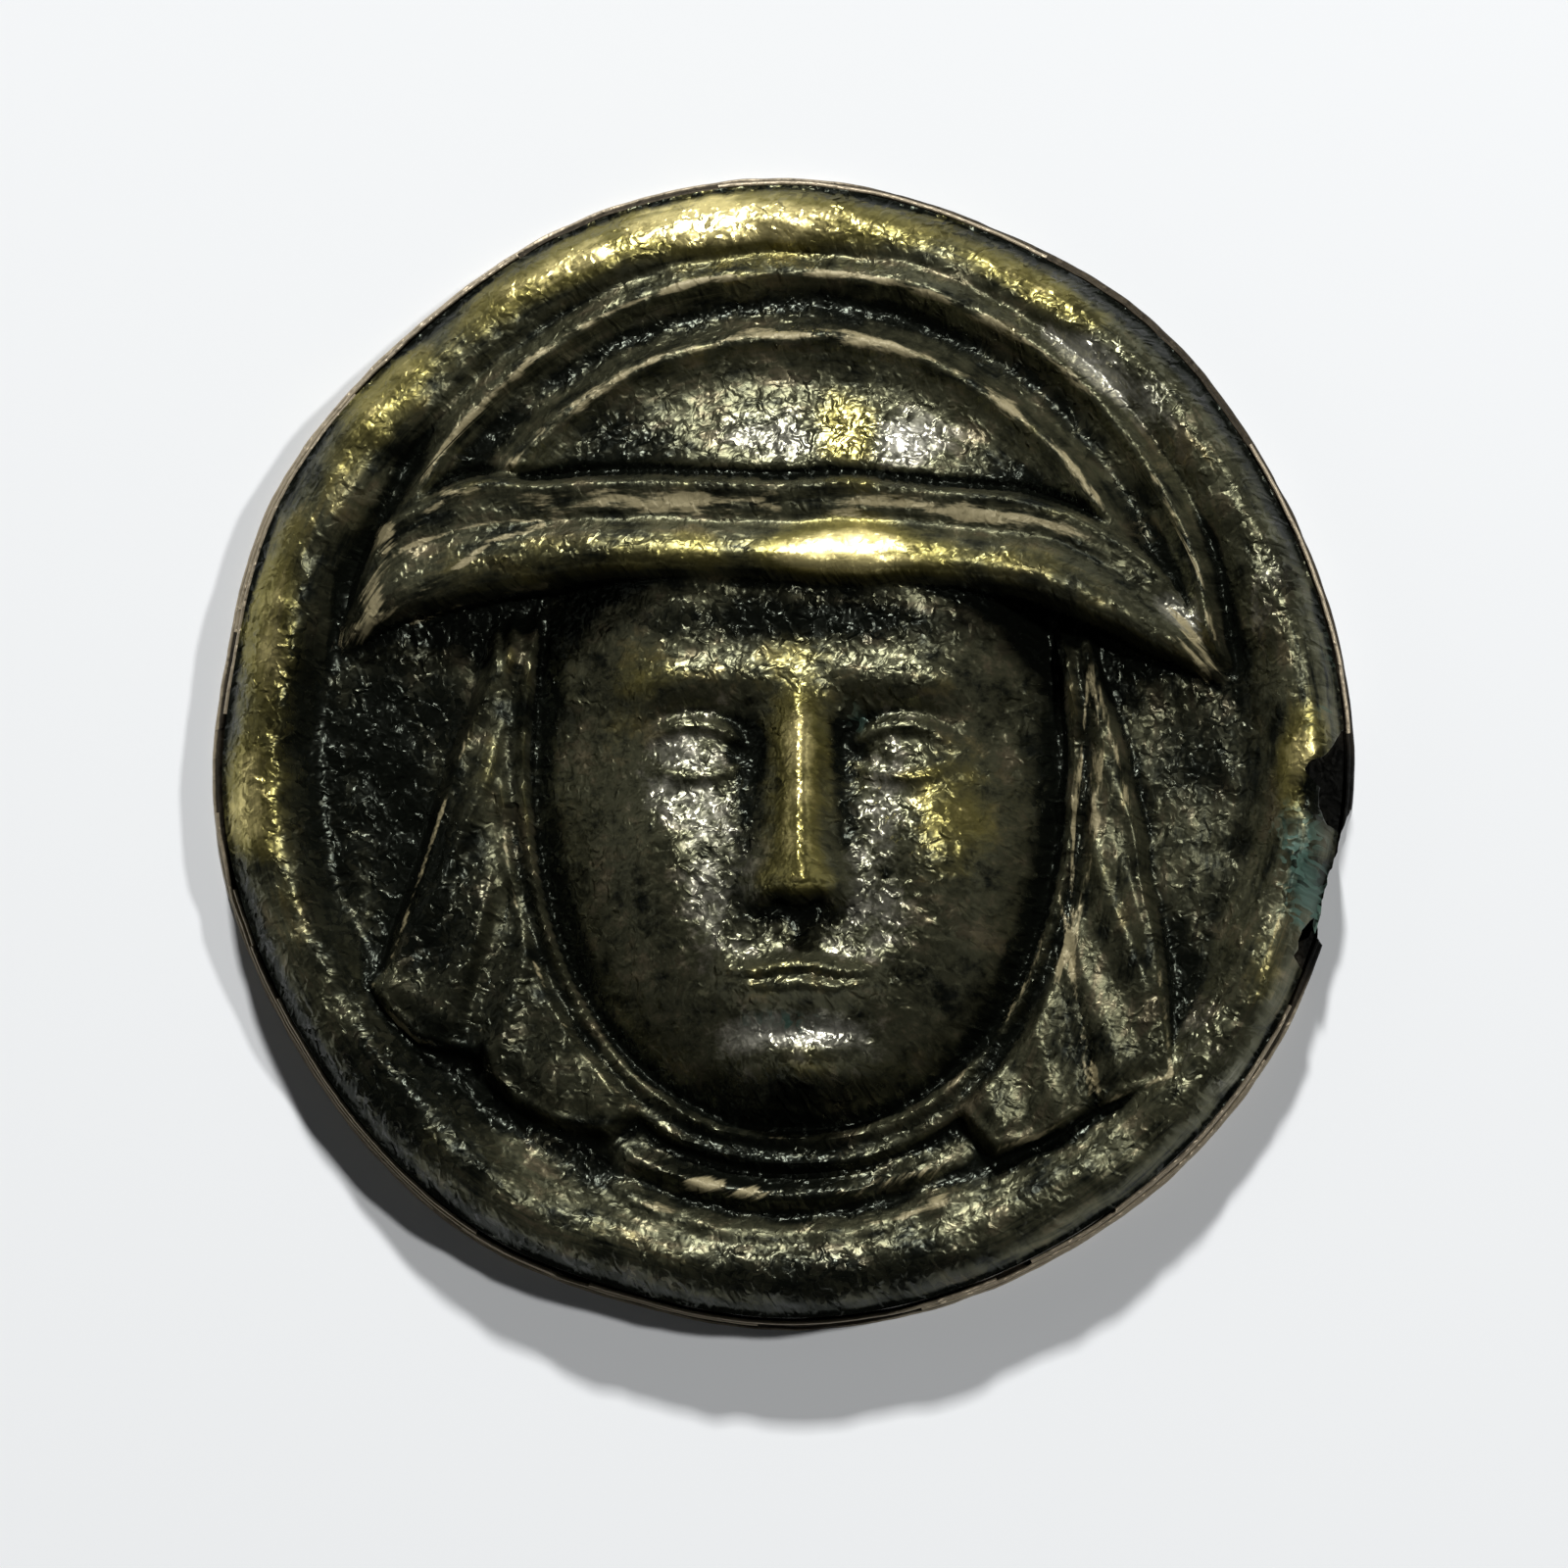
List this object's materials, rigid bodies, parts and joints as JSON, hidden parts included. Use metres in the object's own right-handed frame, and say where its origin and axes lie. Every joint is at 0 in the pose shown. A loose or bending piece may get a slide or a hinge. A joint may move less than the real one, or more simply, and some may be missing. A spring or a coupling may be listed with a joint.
{
  "type": "embossed medallion",
  "caption": "Round hollow embossed medallion: a frontal head under a ringed cap and heavy brim, a rolled rim, and a dished back plate with a strap bridge.",
  "frame": {"origin": "middle of the resting plane, under the back plate's flange", "axes": "+Z out of the embossed face, +Y towards the top of the cap, +X to the right as the face is seen"},
  "size_m": [0.045, 0.0454, 0.0093],
  "materials": {
    "front_gilt": "worn gilding over a dark patina",
    "back_bronze": "dull dark bronze"
  },
  "bodies": {
    "root": {"front_sheet": "front_gilt", "back_plate": "back_bronze"}
  },
  "joints": []
}
